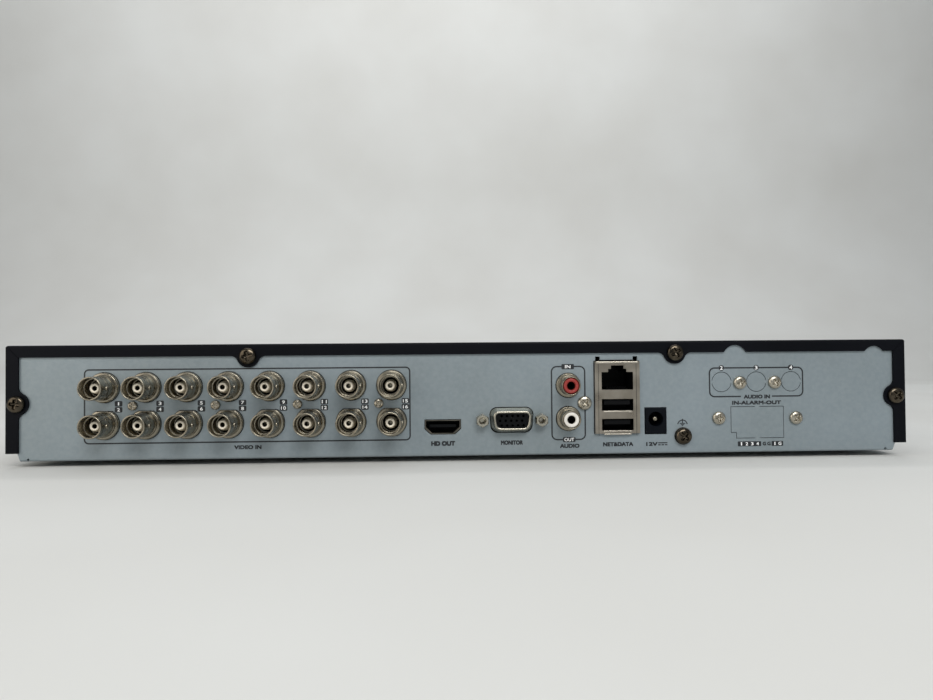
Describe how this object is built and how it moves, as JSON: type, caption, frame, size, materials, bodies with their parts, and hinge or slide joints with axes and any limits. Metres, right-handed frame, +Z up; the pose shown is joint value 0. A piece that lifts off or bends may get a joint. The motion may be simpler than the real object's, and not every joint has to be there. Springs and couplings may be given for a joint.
{
  "type": "dvr recorder",
  "caption": "Flat steel video recorder case with rows of bayonet camera sockets, monitor, audio, network and power sockets on the rear, a drive, a fan and a sliding cover.",
  "frame": {"origin": "on the surface the feet stand on, under the middle of the whole box", "axes": "+Z up, +Y out of the rear panel with its sockets, +X to the right seen from the front"},
  "size_m": [0.38, 0.332, 0.0505],
  "materials": {
    "black_powder_coat": "fine textured powder coat",
    "zinc_steel": "galvanised sheet, semi-gloss",
    "black_moulding": "moulded, fine texture",
    "monitor_insert_moulding": "moulded",
    "smoked_window": "clear moulding, dark tint",
    "foot_rubber": "moulded rubber",
    "black_nickel": "black nickel plate",
    "bright_zinc": "bright zinc plate",
    "nickel_plate": "bright nickel plate",
    "tin_plate": "bright tin plate",
    "white_core": "moulded",
    "contact_gold": "gold flash",
    "audio_red": "moulded",
    "audio_white": "moulded",
    "board_green": "solder mask",
    "chip_epoxy": "moulded epoxy",
    "black_anodised": "black anodised",
    "can_aluminium": "drawn",
    "cast_drive": "die cast",
    "drive_cover_steel": "brushed",
    "platter_mirror": "polished",
    "lead_jacket": "extruded",
    "ribbon_grey": "extruded",
    "lamp_clear": "cast epoxy",
    "fan_screw_black": "black oxide"
  },
  "bodies": {
    "case": {"audio_in_ring": "audio_red", "audio_jack_body": "black_moulding", "audio_jack_screw": "bright_zinc", "audio_jack_sleeves": "nickel_plate", "audio_out_ring": "audio_white", "base_chassis": "zinc_steel", "bezel_screws": "bright_zinc", "blank_screws": "bright_zinc", "bnc_barrels_1": "nickel_plate", "bnc_barrels_2": "nickel_plate", "bnc_barrels_3": "nickel_plate", "bnc_barrels_4": "nickel_plate", "bnc_block_1": "black_moulding", "bnc_block_2": "black_moulding", "bnc_block_3": "black_moulding", "bnc_block_4": "black_moulding", "bnc_block_screws": "bright_zinc", "bnc_contacts": "contact_gold", "bnc_insulators": "white_core", "board_chips": "chip_epoxy", "board_headers": "black_moulding", "board_screws": "bright_zinc", "buzzer": "black_moulding", "clock_battery": "nickel_plate", "coils_and_capacitors": "can_aluminium", "data_lead": "black_moulding", "drive_base": "cast_drive", "drive_board": "board_green", "drive_lid": "drive_cover_steel", "drive_screws": "bright_zinc", "fan_frame": "black_moulding", "fan_screws": "fan_screw_black", "front_bezel": "black_moulding", "front_board": "board_green", "front_lights": "lamp_clear", "front_ribbon": "ribbon_grey", "front_usb": "tin_plate", "hd_socket_shell": "nickel_plate", "hd_socket_tongue": "black_moulding", "heatsink": "black_anodised", "mainboard": "board_green", "monitor_jack_nuts": "nickel_plate", "monitor_socket_insert": "monitor_insert_moulding", "monitor_socket_shell": "nickel_plate", "network_socket_insert": "black_moulding", "network_usb_shield": "tin_plate", "power_lead": "lead_jacket", "power_socket_body": "black_moulding", "power_socket_pin": "nickel_plate", "processor": "chip_epoxy", "rubber_feet": "foot_rubber", "status_window": "smoked_window", "usb_tongues": "black_moulding"},
    "cover": {"top_cover": "black_powder_coat", "cover_screws": "black_nickel"},
    "fan_rotor": {"fan_rotor": "black_moulding"},
    "disc_stack": {"drive_platters": "platter_mirror"},
    "head_arm": {"drive_actuator": "cast_drive"},
    "ground_washer": {"ground_washer": "black_nickel"},
    "ground_screw": {"ground_screw": "black_nickel"}
  },
  "joints": [
    {"name": "cover_slide", "type": "slide", "parent": "case", "child": "cover", "axis": [0, 1, 0], "range_m": [0, 0.32]},
    {"name": "fan_spin", "type": "hinge", "parent": "case", "child": "fan_rotor", "pos_m": [-0.1877, 0.09, 0.0276], "axis": [1, 0, 0], "continuous": true},
    {"name": "disc_spin", "type": "hinge", "parent": "case", "child": "disc_stack", "pos_m": [0.116, -0.0902, 0.019], "axis": [0, 0, 1], "continuous": true},
    {"name": "head_swing", "type": "hinge", "parent": "case", "child": "head_arm", "pos_m": [0.056, -0.1082, 0.019], "axis": [0, 0, -1], "range_deg": [0, 40]},
    {"name": "ground_screw_lift", "type": "slide", "parent": "case", "child": "ground_washer", "axis": [0, 1, 0], "range_m": [0, 0.00238]},
    {"name": "ground_screw_turn", "type": "hinge", "parent": "ground_washer", "child": "ground_screw", "pos_m": [-0.0928, 0.153, 0.0098], "axis": [0, 1, 0], "range_deg": [0, 1080]}
  ],
  "couplings": [
    {"joint": "ground_screw_turn", "follows": "ground_screw_lift", "rad_per_m": 7913.3}
  ]
}
